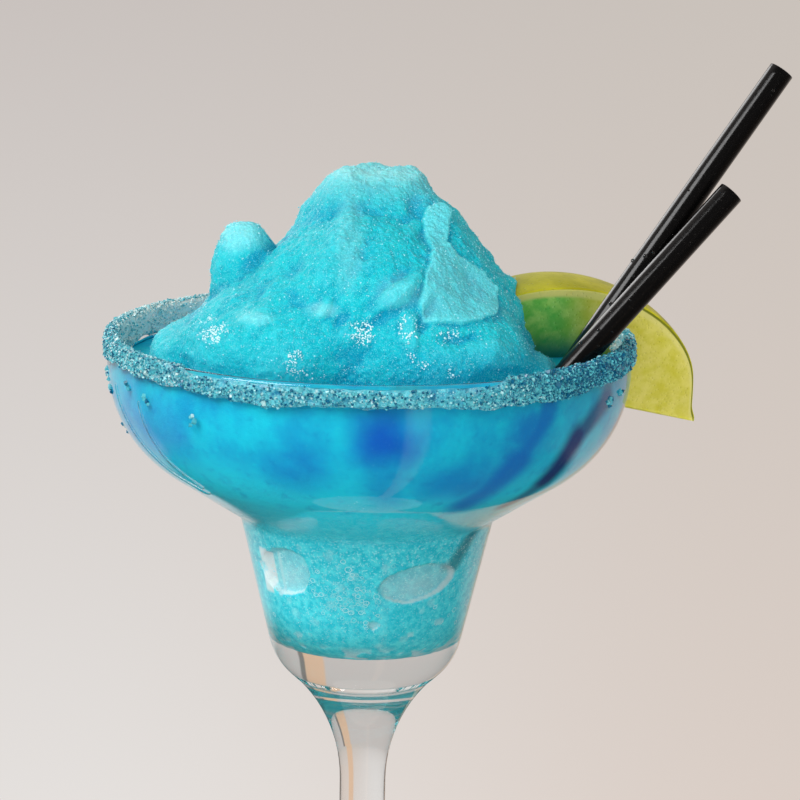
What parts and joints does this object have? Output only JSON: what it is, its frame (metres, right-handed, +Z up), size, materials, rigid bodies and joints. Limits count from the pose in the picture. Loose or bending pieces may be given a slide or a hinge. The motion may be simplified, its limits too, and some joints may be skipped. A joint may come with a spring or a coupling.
{
  "type": "slush cocktail",
  "caption": "Frozen blue slush heaped in a stepped margarita glass with a sugared rim, a lime wedge and two black straws.",
  "frame": {"origin": "middle of the foot's underside, on the glass's axis", "axes": "+Z up along the glass's axis; +X towards the side where the straws and the lime lean out; -Y is the front"},
  "size_m": [0.1494, 0.118, 0.2335],
  "materials": {
    "glass": "clear polished glass",
    "slush": "wet crushed ice, blue",
    "sugar": "coarse sugar crystals",
    "lime": "moist citrus flesh and rind",
    "straw": "gloss black"
  },
  "bodies": {
    "root": {"glass": "glass", "slush": "slush", "sugar_rim": "sugar", "lime_wedge": "lime", "straw_long": "straw", "straw_short": "straw"}
  },
  "joints": []
}
